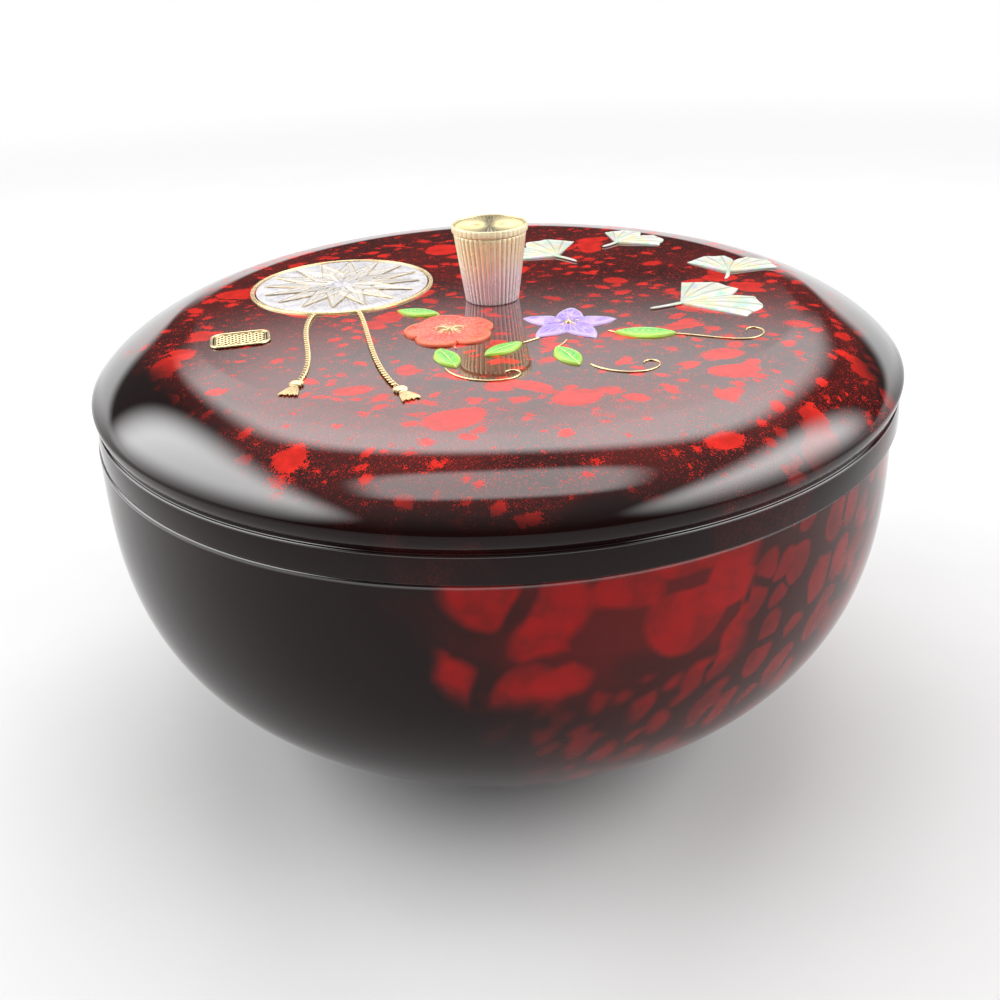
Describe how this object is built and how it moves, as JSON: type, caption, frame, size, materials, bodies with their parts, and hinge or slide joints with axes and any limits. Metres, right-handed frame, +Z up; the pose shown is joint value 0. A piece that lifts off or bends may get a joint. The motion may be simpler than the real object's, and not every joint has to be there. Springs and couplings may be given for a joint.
{
  "type": "trinket box",
  "caption": "Round lacquered trinket box: a deep rounded bowl on a foot ring and a lift-off lid with a rounded nose, laid decoration and a fluted knob.",
  "frame": {"origin": "centre of the foot ring's base plane", "axes": "+Z up along the turning axis through the knob, +X to the right and +Y away in the pictured view"},
  "size_m": [0.2122, 0.212, 0.1363],
  "materials": {
    "lacquer_bowl": "mirror-gloss mottled red and brown-black lacquer",
    "lacquer_lid": "mirror-gloss mottled red and brown-black lacquer",
    "champagne_metal": "pearly champagne gold, satin, fluted",
    "sunray_metal": "gold, sunray engraved",
    "brass": "turned brass",
    "steel": "plated steel",
    "silver_foil": "silver-white ribbed foil",
    "gold_foil": "raised pale gold",
    "pearl_shell": "iridescent cream shell under clear coat",
    "purple_shell": "tinted shell, purple",
    "coral_shell": "tinted shell, coral",
    "green_shell": "tinted shell, green"
  },
  "bodies": {
    "bowl": {"bowl": "lacquer_bowl"},
    "lid": {"lid": "lacquer_lid", "knob": "champagne_metal", "knob_cap": "sunray_metal", "knob_insert": "brass", "knob_screw": "steel", "screw_washer": "steel", "silver_ball_inlay": "silver_foil", "ball_gold_rim": "gold_foil", "gold_cord_left": "gold_foil", "gold_cord_right": "gold_foil", "tassel_left": "gold_foil", "tassel_right": "gold_foil", "gold_tablet": "gold_foil", "bellflower_inlay": "purple_shell", "plum_inlay": "coral_shell", "pearl_leaf_1": "pearl_shell", "pearl_leaf_2": "pearl_shell", "pearl_leaf_3": "pearl_shell", "pearl_leaf_4": "pearl_shell", "bellflower_leaf_1": "green_shell", "bellflower_leaf_2": "green_shell", "bellflower_leaf_3": "green_shell", "plum_leaf_1": "green_shell", "plum_leaf_2": "green_shell"}
  },
  "joints": [
    {"name": "lid_lift", "type": "slide", "parent": "bowl", "child": "lid", "axis": [0, 0, 1], "range_m": [0, 0.12]}
  ]
}
